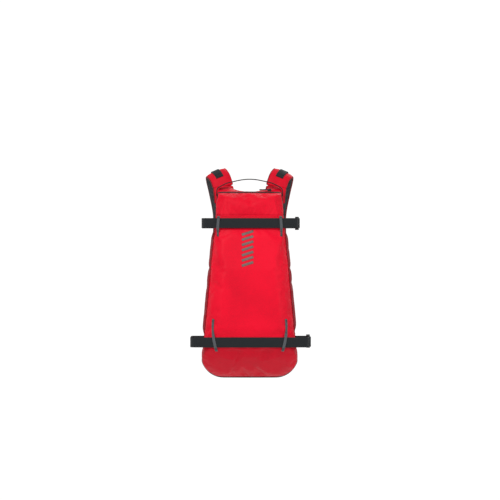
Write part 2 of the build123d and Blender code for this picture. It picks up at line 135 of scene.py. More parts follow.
def from_bmesh(name, bm):
    mesh = bpy.data.meshes.new(name)
    bm.to_mesh(mesh)
    bm.free()
    return link(name, mesh)


# ---- materials ----
class Shader:
    """A small helper that lays out a procedural material"""

    def __init__(self, name):
        self.material = bpy.data.materials.new(name)
        self.material.use_nodes = True
        self.tree = self.material.node_tree
        self.bsdf = self.tree.nodes["Principled BSDF"]
        self.coord = self.tree.nodes.new("ShaderNodeTexCoord")

    def node(self, kind, **values):
        made = self.tree.nodes.new(kind)
        for key, value in values.items():
            if key in made.inputs:
                made.inputs[key].default_value = value
            else:
                setattr(made, key, value)
        return made

    def link(self, out, into):
        """Links out to a socket, or to the surface's own input of that name"""
        self.tree.links.new(out, self.bsdf.inputs[into] if isinstance(into, str) else into)

    def set(self, values):
        for name, value in values.items():
            self.bsdf.inputs[name].default_value = value

    def math(self, operation, a, b=None):
        made = self.node("ShaderNodeMath", operation=operation)
        for i, value in enumerate((a, b)):
            if value is None:
                continue
            if isinstance(value, (int, float)):
                made.inputs[i].default_value = value
            else:
                self.link(value, made.inputs[i])
        return made.outputs[0]

    def noise(self, scale, detail=3.0, rough=0.5, space="Object"):
        made = self.node("ShaderNodeTexNoise", Scale=scale, Detail=detail, Roughness=rough)
        self.link(self.coord.outputs[space], made.inputs["Vector"])
        return made.outputs["Fac"]

    def wave(self, scale, direction, space="Object"):
        made = self.node("ShaderNodeTexWave", Scale=scale, bands_direction=direction)
        self.link(self.coord.outputs[space], made.inputs["Vector"])
        return made.outputs["Fac"]

    def ramp(self, factor, stops):
        made = self.tree.nodes.new("ShaderNodeValToRGB")
        ramp = made.color_ramp
        while len(ramp.elements) < len(stops):
            ramp.elements.new(0.5)
        for element, (place, colour) in zip(ramp.elements, stops):
            element.position = place
            element.color = (*colour, 1)
        self.link(factor, made.inputs["Fac"])
        return made.outputs["Color"]

    def spread(self, value, low, high):
        made = self.node("ShaderNodeMapRange", **{"To Min": low, "To Max": high})
        self.link(value, made.inputs["Value"])
        return made.outputs["Result"]

    def bump(self, height, strength, distance, under=None):
        made = self.node("ShaderNodeBump", Strength=strength, Distance=distance)
        self.link(height, made.inputs["Height"])
        if under is not None:
            self.link(under, made.inputs["Normal"])
        return made.outputs["Normal"]


def tint(colour, factor):
    return tuple(min(1, c * factor) for c in colour)


def plain(name, colour, rough):
    shader = Shader(name)
    speck = shader.noise(40)
    shader.link(shader.ramp(speck, ((0.3, tint(colour, 0.96)), (0.7, colour))),
                "Base Color")
    shader.set({"Roughness": rough})
    return shader.material


def nylon(name, colour, rough=0.5, sheen=0.02):
    """Coated nylon: fine square weave, slow colour drift, soft creases and dulled patches"""
    shader = Shader(name)
    drift = shader.noise(7, 4, 0.6)
    fibre = shader.noise(420, 2, 0.6)
    mix = shader.math("ADD", shader.math("MULTIPLY", drift, 0.7), shader.math("MULTIPLY", fibre, 0.3))
    shader.link(shader.ramp(mix, ((0.30, tint(colour, 0.78)), (0.52, colour), (0.72, tint(colour, 1.12)))),
                "Base Color")
    shader.link(shader.spread(shader.noise(18, 3), rough - 0.08, rough + 0.12), "Roughness")
    weave = shader.math("ADD", shader.wave(260, "X"), shader.math("ADD", shader.wave(260, "Z"),
                                                                    shader.wave(260, "Y")))
    fine = shader.bump(weave, 0.16, 0.00025)
    crease = shader.bump(shader.noise(26, 5, 0.62), 0.35, 0.003, fine)
    shader.link(crease, "Normal")
    shader.set({"Sheen Weight": sheen, "Sheen Roughness": 0.4, "Sheen Tint": (*tint(colour, 1.2), 1),
                "Specular IOR Level": 0.16})
    return shader.material


def webbing_cloth(name, colour, rib=0.0013):
    """Ribbed webbing. U runs along it in metres and V across it"""
    shader = Shader(name)
    turns = WAVE_PERIOD / rib
    along = shader.wave(turns, "X", "UV")
    across = shader.wave(turns * 0.5, "Y", "UV")
    check = shader.math("MULTIPLY", along, across)
    fibre = shader.noise(900, 3, 0.6)
    tone = shader.math("ADD", shader.math("MULTIPLY", check, 0.45), shader.math("MULTIPLY", fibre, 0.55))
    shader.link(shader.ramp(tone, ((0.15, tint(colour, 0.6)), (0.45, colour), (0.85, tint(colour, 1.8)))),
                "Base Color")
    shader.set({"Roughness": 0.72, "Sheen Weight": 0.12, "Specular IOR Level": 0.25})
    ribs = shader.bump(check, 0.7, 0.0006)
    shader.link(shader.bump(fibre, 0.25, 0.0003, ribs), "Normal")
    return shader.material


def plastic(name, colour, rough=0.42):
    """Moulded plastic with a fine spark-eroded texture and scuffed patches"""
    shader = Shader(name)
    scuff = shader.noise(60, 5, 0.7)
    shader.link(shader.ramp(scuff, ((0.35, tint(colour, 0.8)), (0.6, colour), (0.78, tint(colour, 1.8)))),
                "Base Color")
    shader.link(shader.spread(scuff, rough - 0.1, rough + 0.2), "Roughness")
    shader.link(shader.bump(shader.noise(1500, 2), 0.2, 0.0002), "Normal")
    return shader.material


def spacer_mesh(name, colour, hole=0.0032):
    """Knitted spacer mesh: rows of small round holes over a darker ground"""
    shader = Shader(name)
    cells = shader.node("ShaderNodeTexVoronoi", Scale=1 / hole, Randomness=0.12)
    shader.link(shader.coord.outputs["Object"], cells.inputs["Vector"])
    distance = cells.outputs["Distance"]
    shader.link(shader.ramp(distance, ((0.10, tint(colour, 0.25)), (0.34, tint(colour, 0.6)), (0.5, colour),
                                       (0.8, tint(colour, 1.5)))), "Base Color")
    shader.set({"Roughness": 0.85, "Sheen Weight": 0.25})
    shader.link(shader.bump(distance, 0.9, 0.0012), "Normal")
    return shader.material


WAVE_PERIOD = 0.314                        # a wave texture of scale 1 repeats in this many metres
RED = (0.93, 0.0015, 0.026)
MATERIALS = {
    "red_nylon": nylon("red_nylon", RED),
    # base panel: the red nylon darkened to 0.74 as painted shade, standing in for the downward-facing base
    # lying in shade
    "base_red_nylon": nylon("base_red_nylon", tint(RED, 0.74), 0.42),
    "dark_red_nylon": nylon("dark_red_nylon", tint(RED, 0.36), 0.5),
    "red_padding": nylon("red_padding", tint(RED, 0.8), 0.55),
    "lining": nylon("lining", (0.16, 0.165, 0.175), 0.6, 0.1),
    "black_webbing": webbing_cloth("black_webbing", (0.013, 0.016, 0.019)),
    "grey_webbing": webbing_cloth("grey_webbing", (0.105, 0.115, 0.125)),
    "red_binding": webbing_cloth("red_binding", tint(RED, 0.3)),
    "dark_piping": webbing_cloth("dark_piping", (0.05, 0.012, 0.016)),
    "zip_tape": webbing_cloth("zip_tape", tint(RED, 0.16)),
    "buckle_plastic": plastic("buckle_plastic", (0.012, 0.013, 0.015)),
    "zip_metal": plastic("zip_metal", (0.03, 0.03, 0.033), 0.3),
    "back_mesh": spacer_mesh("back_mesh", (0.045, 0.047, 0.052)),
    "reflective_print": plastic("reflective_print", (0.2, 0.135, 0.125), 0.4),
    "frame_plastic": plastic("frame_plastic", (0.55, 0.55, 0.53), 0.5),
}
THREAD = nylon("thread", tint(RED, 0.55), 0.6)
BLACK_THREAD = nylon("black_thread", (0.03, 0.03, 0.034), 0.7, 0.1)


def finish_piece(obj, body, slot, *nodes, smooth=True, material=None):
    """Material, slot, body and replaced CAD nodes of one piece. A tuple for body leaves it unattached, with
    its transform baked into its mesh
    """
    obj.data.materials.clear()
    obj.data.materials.append(material or MATERIALS[slot])
    if smooth:
        obj.data.shade_smooth()
    if isinstance(body, tuple):
        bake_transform(obj)
    else:
        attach(obj, body)
    if nodes:
        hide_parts(*nodes)
    return obj


# ---- the bag's skin ----
SHELL = ("front_panel", "side_panel_left", "side_panel_right", "base_panel", "rear_gusset",
         "top_flap", "back_wall")
GRID_STEP = 0.0052
CLOTH_FRAMES = 22
PUFF = 0.0075                              # how far the fabric may stand off its CAD wall


def tree_of(objects):
    """One search tree over several objects' meshes"""
    points, faces = [], []
    for obj in objects:
        start = len(points)
        points += [v.co.copy() for v in obj.data.vertices]
        faces += [[start + i for i in p.vertices] for p in obj.data.polygons]
    return BVHTree.FromPolygons(points, faces)


SHELL_TREE = tree_of(NODES[name] for name in SHELL)


def on_shell(start, way):
    """Where a ray meets the CAD shell, whatever narrow gap between panels it may hit"""
    best = None
    for side in (0, 1.6 * MM, -1.6 * MM):
        hit, _, _, distance = SHELL_TREE.ray_cast(start + Vector((0, side, side)), way)
        if hit and (best is None or distance < best[0] - 0.004):
            best = (distance, hit)
    return best[1] if best else None


def skin_grid():
    """A closed grid drawn onto the outside of the CAD shell"""
    low = Vector((-half_width(BASE + 0.05), -0.153, BASE))
    high = Vector((half_width(BASE + 0.05), BACK_Y, BASE + 0.484))
    counts = [max(2, round((high[i] - low[i]) / GRID_STEP)) for i in range(3)]
    bm = bmesh.new()
    places = {}

    def corner(index):
        if index not in places:
            point = Vector([low[i] + (high[i] - low[i]) * index[i] / counts[i] for i in range(3)])
            core = Vector((0, -0.07, max(BASE + 0.08, min(BASE + 0.40, point.z))))
            out = point - core
            places[index] = bm.verts.new(on_shell(core + out * 1.6, -out.normalized()) or point)
        return places[index]

    for axis in range(3):
        u, v = [i for i in range(3) if i != axis]
        for end in (0, counts[axis]):
            for i in range(counts[u]):
                for j in range(counts[v]):
                    ring = []
                    for a, b in ((0, 0), (1, 0), (1, 1), (0, 1)):
                        index = [0, 0, 0]
                        index[axis], index[u], index[v] = end, i + a, j + b
                        ring.append(corner(tuple(index)))
                    bm.faces.new(ring)
    bmesh.ops.recalc_face_normals(bm, faces=bm.faces)
    return bm


def cut(bm, point, normal, wanted):
    """Cuts the faces that wanted picks along a plane"""
    faces = [f for f in bm.faces if wanted(f.calc_center_median())]
    geom = set(faces)
    for face in faces:
        geom.update(face.edges)
        geom.update(face.verts)
    bmesh.ops.bisect_plane(bm, geom=list(geom), dist=2e-4, plane_co=point, plane_no=normal)


def seam_y(z):
    """Y of the side seam at a height"""
    first, middle, last = SEAM_LINE
    low, high = (first, middle) if z < middle[1] else (middle, last)
    return low[0] + (high[0] - low[0]) * (z - low[1]) / (high[1] - low[1])


def panel_of(c):
    """The panel that a point of the skin belongs to"""
    if c.y > BACK_Y - 0.0022:
        return "back_wall"
    if c.z < RIDGE:
        return "base_panel"
    if c.z > FOLD:
        return "top_flap" if c.y < ZIP_Y else "rear_gusset"
    if c.y < seam_y(c.z):
        return "front_panel"
    return "side_panel_right" if c.x > 0 else "side_panel_left"


def near_strap(co):
    """1 under a ski strap or the zip tape, falling to 0 away from it"""
    hold = 0.0
    if co.z > FOLD:
        hold = 1 - min(1, max(0.0, abs(co.y - ZIP_Y) - 0.009) / 0.012)
    if co.z < RIDGE:
        hold = 1 - min(1, max(0.0, abs(co.y + 0.056) - 0.004) / 0.02)
    for z in STRAP_HEIGHTS.values():
        gap = max(0.0, abs(co.z - z) - WEB / 2) / 0.02
        hold = max(hold, 1 - min(1, gap))
    return hold if co.y < -0.022 or co.z > FOLD or co.z < RIDGE else 0.0


def sew_skin():
    """Cuts the seams, then lets the cloth swell and crease between them"""
    bm = skin_grid()
    cut(bm, (0, BACK_Y - 0.0022, 0), (0, 1, 0), lambda c: c.y > BACK_Y - 0.02)
    cut(bm, (0, 0, RIDGE), (0, 0, 1), lambda c: abs(c.z - RIDGE) < 0.02)
    cut(bm, (0, 0, FOLD), (0, 0, 1), lambda c: abs(c.z - FOLD) < 0.02)
    cut(bm, (0, ZIP_Y, 0), (0, 1, 0), lambda c: c.z > FOLD and abs(c.y - ZIP_Y) < 0.02)
    for (y0, z0), (y1, z1) in zip(SEAM_LINE, SEAM_LINE[1:]):
        cut(bm, (0, y0, z0), (0, z1 - z0, y0 - y1), lambda c, a=z0, b=z1: a < c.z < b and c.y < -0.05)
    bmesh.ops.remove_doubles(bm, verts=bm.verts, dist=6e-4)
    bmesh.ops.triangulate(bm, faces=[f for f in bm.faces if len(f.verts) > 4])
    skin = from_bmesh("skin", bm)
    mesh = skin.data
    panels = [panel_of(p.center) for p in mesh.polygons]
    touching = [set() for _ in mesh.vertices]
    for polygon, panel in zip(mesh.polygons, panels):
        for i in polygon.vertices:
            touching[i].add(panel)
    rest = [v.co.copy() for v in mesh.vertices]
    pins = {}
    for i, names in enumerate(touching):
        held = 1.0 if len(names) > 1 or "back_wall" in names else 0.0
        held = max(held, 0.9 if near_strap(rest[i]) > 0.98 else 0.0)
        if held:
            pins.setdefault(held, []).append(i)
    run_cloth(skin, pins, CLOTH_FRAMES, {
        "quality": 6, "mass": 0.12, "tension_stiffness": 18, "compression_stiffness": 14,
        "shear_stiffness": 6, "bending_stiffness": 0.35, "pin_stiffness": 40,
        "shrink_min": -0.028, "uniform_pressure_force": 2.4})
    for i, vertex in enumerate(mesh.vertices):
        move = vertex.co - rest[i]
        limit = PUFF * (1 - 0.93 * near_strap(rest[i]))
        if "rear_gusset" in touching[i]:
            limit *= 0.15
        if "back_wall" in touching[i]:
            limit = 0.001
        if move.length > limit:
            vertex.co = rest[i] + move * (limit / move.length)
    return skin, panels


def run_cloth(obj, pins, frames, values):
    """Swells obj's cloth under pressure, held where pinned, and bakes it into its mesh"""
    group = obj.vertex_groups.new(name="pins")
    for weight, indices in pins.items():
        group.add(indices, weight, "REPLACE")
    cloth = obj.modifiers.new("cloth", "CLOTH")
    cloth.settings.vertex_group_mass = "pins"
    cloth.settings.use_pressure = True
    cloth.settings.effector_weights.gravity = 0
    for name, value in values.items():
        setattr(cloth.settings, name, value)
    cloth.collision_settings.use_collision = False
    scene = bpy.context.scene
    for step in range(1, frames + 1):
        scene.frame_set(step)
    graph = bpy.context.evaluated_depsgraph_get()
    done = bpy.data.meshes.new_from_object(obj.evaluated_get(graph))
    for vertex, moved in zip(obj.data.vertices, done.vertices):
        vertex.co = moved.co
    obj.modifiers.clear()
    scene.frame_set(1)
    bpy.data.meshes.remove(done)


PANEL_LOOKS = {
    "front_panel": ("root", "red_nylon", (0.25, 0.33)),
    "side_panel_left": ("root", "dark_red_nylon", (0.13, 0.33)),
    "side_panel_right": ("root", "dark_red_nylon", (0.13, 0.33)),
    # the base panel wears the red nylon darkened as painted shade
    "base_panel": ("root", "base_red_nylon", (0.36, 0.24)),
    "rear_gusset": ("root", "red_nylon", (0.34, 0.06)),
    "top_flap": ("top_flap", "red_nylon", (0.30, 0.13)),
    "back_wall": ("root", "dark_red_nylon", (0.24, 0.49)),
}
CLOTH_THICK = 0.0011


def make_panels(skin, panels):
    """Each sewn panel as its own piece, with its lining"""
    made = {}
    for name, (body, slot, flat) in PANEL_LOOKS.items():
        bm = bmesh.new()
        bm.from_mesh(skin.data)
        bm.faces.ensure_lookup_table()
        away = [bm.faces[i] for i, panel in enumerate(panels) if panel != name]
        bmesh.ops.delete(bm, geom=away, context="FACES")
        obj = from_bmesh("cloth_" + name, bm)
        smooth = obj.modifiers.new("smooth", "SUBSURF")
        smooth.levels = smooth.render_levels = 1
        solid = obj.modifiers.new("lining", "SOLIDIFY")
        solid.thickness = CLOTH_THICK
        solid.offset = -1
        solid.material_offset = 1
        finish_piece(obj, body, slot, name)
        obj.data.materials.append(MATERIALS["lining"])
        made[name] = obj
    bpy.data.objects.remove(skin)
    return made


make_stage()
PANELS = make_panels(*sew_skin())


# ---- shapes used by straps, pads and hardware ----
def rounded(points, radii, steps=7):
    """A path through points with an arc at each inner corner"""
    points = [Vector(p) for p in points]
    path = [points[0]]
    for before, corner, after, radius in zip(points, points[1:], points[2:], radii):
        a, b = (before - corner), (after - corner)
        half = a.angle(b) / 2
        reach = min(radius / math.tan(half), a.length * 0.49, b.length * 0.49)
        first, last = corner + a.normalized() * reach, corner + b.normalized() * reach
        for i in range(steps + 1):
            t = i / steps
            path.append(first * (1 - t) ** 2 + corner * 2 * t * (1 - t) + last * t ** 2)
    path.append(points[-1])
    return path


def resample(path, step):
    """The path again, with points at even steps"""
    lengths = [0.0]
    for a, b in zip(path, path[1:]):
        lengths.append(lengths[-1] + (b - a).length)
    count = max(2, round(lengths[-1] / step))
    made, k = [], 0
    for i in range(count + 1):
        want = lengths[-1] * i / count
        while k < len(path) - 2 and lengths[k + 1] < want:
            k += 1
        span = lengths[k + 1] - lengths[k]
        made.append(path[k].lerp(path[k + 1], (want - lengths[k]) / span if span else 0))
    return made


def flow(points, steps=8):
    """A smooth curve through points"""
    points = [Vector(p) for p in points]
    path = []
    for i in range(len(points) - 1):
        p1, p2 = points[i], points[i + 1]
        p0 = points[i - 1] if i else p1 * 2 - p2
        p3 = points[i + 2] if i + 2 < len(points) else p2 * 2 - p1
        for k in range(steps):
            t = k / steps
            path.append(0.5 * (2 * p1 + (p2 - p0) * t + (2 * p0 - 5 * p1 + 4 * p2 - p3) * t ** 2
                               + (3 * p1 - p0 - 3 * p2 + p3) * t ** 3))
    path.append(points[-1])
    return path


def tangent(path, i):
    return (path[min(i + 1, len(path) - 1)] - path[max(i - 1, 0)]).normalized()


def sweep(name, path, across, ring):
    """Rings of (across, outward, material) points carried along a path, with UVs in metres"""
    bm = bmesh.new()
    uv = bm.loops.layers.uv.new("UVMap")
    rings, travelled = [], [0.0]
    for i, point in enumerate(path):
        along = tangent(path, i)
        wide = across(i) if callable(across) else Vector(across)
        wide = (wide - along * wide.dot(along)).normalized()
        out = wide.cross(along)
        shape = ring(i)
        rings.append([bm.verts.new(point + wide * a + out * b) for a, b, _ in shape])
        if i:
            travelled.append(travelled[-1] + (point - path[i - 1]).length)
    shape = ring(0)
    count = len(shape)
    girth = [0.0]
    for (a, b, _), (c, d, _) in zip(shape, shape[1:] + shape[:1]):
        girth.append(girth[-1] + math.hypot(c - a, d - b))
    for i in range(len(rings) - 1):
        for k in range(count):
            nxt = (k + 1) % count
            face = bm.faces.new((rings[i][k], rings[i][nxt], rings[i + 1][nxt], rings[i + 1][k]))
            face.material_index = shape[k][2]
            spots = ((travelled[i], girth[k]), (travelled[i], girth[k + 1]),
                     (travelled[i + 1], girth[k + 1]), (travelled[i + 1], girth[k]))
            for loop, spot in zip(face.loops, spots):
                loop[uv].uv = spot
    bm.faces.new(rings[0][::-1])
    bm.faces.new(rings[-1])
    bmesh.ops.recalc_face_normals(bm, faces=bm.faces)
    return from_bmesh(name, bm)


def strap(name, path, across, width, thick, body, slot, *nodes, narrow=lambda point: 1.0):
    """Flat webbing with rolled edges and a slightly raised middle"""
    half, t = width / 2, thick / 2
    edge = [(-half, 0), (-half + t * 0.5, t * 0.8), (-half + t * 2.2, t * 1.05), (0, t * 0.92),
            (half - t * 2.2, t * 1.05), (half - t * 0.5, t * 0.8), (half, 0)]
    shape = [(a, b, 0) for a, b in edge] + [(a, -b, 0) for a, b in edge[-2:0:-1]]
    path = resample(path, 0.0035)
    obj = sweep(name, path, across, lambda i: [(a * narrow(path[i]), b, c) for a, b, c in shape])
    return finish_piece(obj, body, slot, *nodes)


def blocks(name, boxes, bevel, body, slot, *nodes, frame_of=None):
    """Moulded hardware from bevelled boxes ((low), (high)) joined into one piece"""
    bm = bmesh.new()
    for low, high in boxes:
        made = bmesh.ops.create_cube(bm, size=1)["verts"]
        middle = (Vector(low) + Vector(high)) / 2
        size = [abs(h - l) for l, h in zip(low, high)]
        bmesh.ops.scale(bm, vec=size, verts=made)
        bmesh.ops.translate(bm, vec=middle, verts=made)
        edges = list({e for v in made for e in v.link_edges})
        width = min(bevel, min(size) * 0.42)
        bmesh.ops.bevel(bm, geom=edges, offset=width, segments=3, profile=0.6, affect="EDGES")
    if frame_of is not None:
        bmesh.ops.transform(bm, matrix=frame_of, verts=bm.verts)
    return finish_piece(from_bmesh(name, bm), body, slot, *nodes)


STITCH_LONG = 2.6 * MM
STITCH_STEP = 3.7 * MM


def stitches(name, rows, body, material):
    """Raised thread stitches along rows of (point, along, normal)"""
    points, faces = [], []
    for row in rows:
        for place, along, normal in row:
            side = along.cross(normal).normalized()
            start = len(points)
            for t in (-0.5, -0.3, 0.3, 0.5):
                slim = 0.35 if abs(t) == 0.5 else 1.0
                for a, b in ((1, 0), (0, 1), (-1, 0), (0, -1)):
                    points.append(place + along * (t * STITCH_LONG) + side * (a * 0.34 * MM * slim)
                                  + normal * (b * 0.3 * MM * slim))
            for k in range(3):
                for j in range(4):
                    a = start + k * 4 + j
                    b = start + k * 4 + (j + 1) % 4
                    faces.append((a, b, b + 4, a + 4))
            faces.append((start + 3, start + 2, start + 1, start))
            faces.append((start + 12, start + 13, start + 14, start + 15))
    slot = "black_webbing" if material is BLACK_THREAD else "red_nylon"
    return finish_piece(from_points(name, points, faces), body, slot, material=material)


def stitch_row(path, normal):
    """Stitches evenly along a path"""
    path = resample(path, STITCH_STEP)
    row = []
    for i, point in enumerate(path):
        along = tangent(path, i)
        along = (along - normal * along.dot(normal)).normalized()
        row.append((point, along, normal))
    return row


def box_stitch(centre, wide, tall, across, up):
    """The crossed box that holds down a strap's end"""
    across, up = Vector(across).normalized(), Vector(up).normalized()
    out = across.cross(up)
    corner = [centre + across * (a * wide / 2) + up * (b * tall / 2)
              for a, b in ((-1, -1), (1, -1), (1, 1), (-1, 1))]
    return [stitch_row([corner[a], corner[b]], out)
            for a, b in ((0, 1), (1, 2), (2, 3), (3, 0), (0, 2), (1, 3))]


# ---- seams ----
def border_loops(mesh):
    """The open borders of a mesh as closed lists of points"""
    uses = {}
    for polygon in mesh.polygons:
        for key in polygon.edge_keys:
            uses[key] = uses.get(key, 0) + 1
    links = {}
    for (a, b), count in uses.items():
        if count == 1:
            links.setdefault(a, []).append(b)
            links.setdefault(b, []).append(a)
    loops, seen = [], set()
    for start in links:
        if start in seen:
            continue
        loop, here = [start], start
        seen.add(start)
        while True:
            onward = [n for n in links[here] if n not in seen]
            if not onward:
                break
            here = onward[0]
            seen.add(here)
            loop.append(here)
        if len(loop) > 8:
            loops.append([mesh.vertices[i].co.copy() for i in loop])
    return loops


def topstitch(name, inset=3.2 * MM):
    """A row of stitches inside the border of one sewn panel"""
    mesh = PANELS[name].data
    tree = tree_of([PANELS[name]])
    rows = []
    for loop in border_loops(mesh):
        path = resample(loop + loop[:1], STITCH_STEP)
        row = []
        for i, point in enumerate(path[:-1]):
            _, normal, face, _ = tree.find_nearest(point)
            inward = mesh.polygons[face].center - point
            along = tangent(path, i)
            side = normal.cross(along)
            if side.length < 0.1:
                continue
            side.normalize()
            if side.dot(inward) < 0:
                side = -side
            spot, facing, _, gap = tree.find_nearest(point + side * inset)
            if spot is None or gap > inset:
                continue
            along = (along - facing * along.dot(facing)).normalized()
            row.append((spot + facing * 0.35 * MM, along, facing))
        rows.append(row)
    return stitches("topstitch_" + name, rows, PANEL_LOOKS[name][0], THREAD)


def tube(name, path, radius, body, slot, *nodes, sides=8):
    """A round cord-like piping along a path"""
    ring = [(radius * math.cos(2 * math.pi * k / sides), radius * math.sin(2 * math.pi * k / sides), 0)
            for k in range(sides)]
    path = resample(path, 0.004)

    def across(i):
        along = tangent(path, i)
        return along.orthogonal() if abs(along.y) > 0.95 else along.cross(Vector((0, 1, 0)))

    return finish_piece(sweep(name, path, across, lambda i: ring), body, slot, *nodes)


def seam_piping():
    """Piping along the two side seams"""
    for side, name in ((-1, "left"), (1, "right")):
        edge = [v.co for v in PANELS["front_panel"].data.vertices]
        path = []
        for i in range(40):
            z = RIDGE + (FOLD - RIDGE) * i / 39
            y = seam_y(z)
            near = min(edge, key=lambda c: (c.y - y) ** 2 + (c.z - z) ** 2 + (0 if c.x * side > 0 else 1))
            path.append(near + Vector((side * 0.4 * MM, 0, 0)))
        tube("side_piping_" + name, path, 1.1 * MM, "root", "dark_red_nylon")


for panel in PANELS:
    if panel != "back_wall":
        topstitch(panel)
seam_piping()


# ---- zip ----
def ray_arc(tree, y, z, first, last, steps, away, lift):
    """Points lifted off a surface on an arc across the bag; first and last in half turns"""
    path = []
    for i in range(steps + 1):
        turn = math.pi * (first + (last - first) * i / steps)
        way = Vector((math.cos(turn), 0, math.sin(turn)))
        hit = tree.ray_cast(Vector((0, y, z)) + way * away, -way)[0]
        if hit:
            path.append(hit + way * lift)
    return path


def zip_line(y):
    """The zip's run over the bag's top"""
    path = ray_arc(SHELL_TREE, y, FOLD + 0.02, -0.02, 1.02, 60, 0.2, 1.6 * MM)
    return [point for point in path if point.z > FOLD + 0.008]


def zip_teeth(name, y, lean, body):
    """One side of the zip's coil: small hooked teeth standing on the tape"""
    bm = bmesh.new()
    path = resample(zip_line(y), 2.4 * MM)
    for i, point in enumerate(path):
        along = tangent(path, i)
        up = Vector((0, -1, 0)).cross(along).normalized()
        if up.z < 0 and abs(point.x) < 0.06:
            up = -up
        if up.dot(point - Vector((0, y, FOLD))) < 0:
            up = -up
        made = bmesh.ops.create_cube(bm, size=1)["verts"]
        turn = Matrix((along, Vector((0, 1, 0)), up)).transposed().to_4x4()
        grow = Matrix.Diagonal((1.3 * MM, 3.4 * MM, 1.2 * MM, 1))
        shift = Matrix.Translation(point + Vector((0, lean * 1.2 * MM, 0)))
        bmesh.ops.transform(bm, matrix=shift @ turn @ grow, verts=made)
    bmesh.ops.bevel(bm, geom=bm.edges[:], offset=0.25 * MM, segments=1, affect="EDGES")
    return finish_piece(from_bmesh(name, bm), body, "zip_metal")


zip_teeth("zip_teeth_rear", ZIP_Y + 0.6 * MM, 1, "root")
zip_teeth("zip_teeth_flap", ZIP_Y - 0.6 * MM, -1, "top_flap")


# ---- parts that lie on the fabric ----
SKIN_TREE = tree_of(PANELS.values())


def middle_of(node):
    low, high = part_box(node)
    return (Vector(low) + Vector(high)) / 2


def level(height):
    """Z of a height in mm above the bag's base"""
    return BASE + height * MM


def on_skin(start, way, lift=1.0 * MM):
    """The fabric's outside where a ray meets it, lifted a little"""
    way = Vector(way).normalized()
    hit = SKIN_TREE.ray_cast(Vector(start), way)[0]
    return hit - way * lift if hit else None


def at_side(side, y, height, lift=1.2 * MM):
    return on_skin((side * 0.3, y, level(height)), (-side, 0, 0), lift)


def at_front(x, height, lift=1.0 * MM):
    return on_skin((x, -0.4, level(height)), (0, 1, 0), lift)


def tape(name, y, body, node):
    """Zip tape over the top of the bag"""
    path = ray_arc(SKIN_TREE, y, FOLD + 0.02, -0.06, 1.06, 60, 0.3, 0.8 * MM)
    path = [point for point in path if point.z > FOLD + 0.006]
    return strap(name, path, (0, 1, 0.25), 7 * MM, 1.0 * MM, body, "zip_tape", node)


tape("tape_rear", ZIP_Y + 3.9 * MM, "root", "zip_tape_rear")
tape("tape_flap", ZIP_Y - 3.9 * MM, "top_flap", "zip_tape_flap")


BASE_ARC = ray_arc(SKIN_TREE, -0.056, RIDGE, 0.98, 2.02, 90, 0.3, 0.9 * MM)
tube("base_welt", [point for point in BASE_ARC if point.z < RIDGE - 0.001], 1.7 * MM, "root",
     "dark_piping", "base_piping")


def mark_bars():
    """A generic reflective mark: seven short slanted bars printed on the front"""
    lean = math.radians(18)
    pitch = 90 / 7
    points, faces = [], []
    for k in range(7):
        middle = 278 + pitch * (k + 0.5)
        start = len(points)
        for i in range(13):
            for j in range(4):
                a, b = -15 + 30 * i / 12, (j / 3 - 0.5) * pitch * 0.5
                x = -5 + a * math.cos(lean) - b * math.sin(lean)
                height = middle + a * math.sin(lean) + b * math.cos(lean)
                points.append(at_front(x * MM, height, 0.5 * MM))
        for i in range(12):
            for j in range(3):
                a = start + i * 4 + j
                faces.append((a, a + 4, a + 5, a + 1))
    obj = from_points("mark", points, faces)
    solid = obj.modifiers.new("thick", "SOLIDIFY")
    solid.thickness = 0.35 * MM
    finish_piece(obj, "root", "reflective_print", "reflective_mark")


mark_bars()


# ---- ski straps ----
KEEPERS = {"upper": ((77, 403), (80, 378), (79, 353)), "lower": ((90, 148), (95, 112), (82, 68))}


def socket_half(name, placed, tall, thick, long, body, node):
    """Buckle half with windows at its sides; the frame's X runs into the buckle"""
    h, t = tall / 2, thick / 2
    boxes = [((0, -h, t - 1.5), (long - 6, h, t)), ((0, -h, -t), (long - 6, h, 1.5 - t)),
             ((long - 9, -h, -t), (long - 6, h, t)), ((long - 2.6, -h, -t * 0.6), (long, h, t * 0.6)),
             ((0, -h, -t), (2.4, 2.2 - h, t)), ((0, h - 2.2, -t), (2.4, h, t))]
    boxes += [((long - 8, s * h - (2.6 if s > 0 else 0), -t * 0.6),
               (long, s * h + (0 if s > 0 else 2.6), t * 0.6)) for s in (-1, 1)]
    boxes += [((3 + 2.6 * k, 5 - h, t - 0.6), (4.2 + 2.6 * k, h - 5, t + 0.5)) for k in range(3)]
    return hardware(name, boxes, placed, body, node)


def tongue_half(name, placed, tall, thick, long, prong, body, node):
    """Buckle half with two sprung arms and a guide between them"""
    h, t = tall / 2 - 1, thick / 2
    boxes = [((-8, -h, 0.7 - t), (-0.6, h, t - 0.7)),
             ((-long, -h, -t * 0.55), (2.5 - long, h, t - 0.3)),
             ((-long / 2 - 1.4, -h, -t * 0.45), (1.0 - long / 2, h, t - 0.3)),
             ((-1, -1.3, -t * 0.4), (prong - 2, 1.3, t * 0.4))]
    for s in (-1, 1):
        rail = sorted((s * h, s * (h - 2.8)))
        arm = sorted((s * h, s * (h - 2.5)))
        catch = sorted((s * (h + 0.6), s * (h - 4.4)))
        boxes += [((-long, rail[0], -t * 0.55), (-7, rail[1], t * 0.55)),
                  ((-1, arm[0], -t * 0.45), (prong - 1, arm[1], t * 0.45)),
                  ((prong - 5, catch[0], -t * 0.5), (prong, catch[1], t * 0.5))]
    boxes += [((-7 + 2 * k, 4 - h, t - 1), (-6 + 2 * k, h - 4, t - 0.2)) for k in range(3)]
    return hardware(name, boxes, placed, body, node)


def hardware(name, boxes, placed, body, node, slot="buckle_plastic"):
    scaled = [([c * MM for c in low], [c * MM for c in high]) for low, high in boxes]
    return blocks(name, scaled, 0.9 * MM, body, slot, node, frame_of=placed)


def placing(origin, along, up):
    """A frame at origin with X along and Y up, as a matrix"""
    along, up = Vector(along).normalized(), Vector(up).normalized()
    out = along.cross(up)
    turn = Matrix((along, up, out)).transposed().to_4x4()
    return Matrix.Translation(Vector(origin)) @ turn


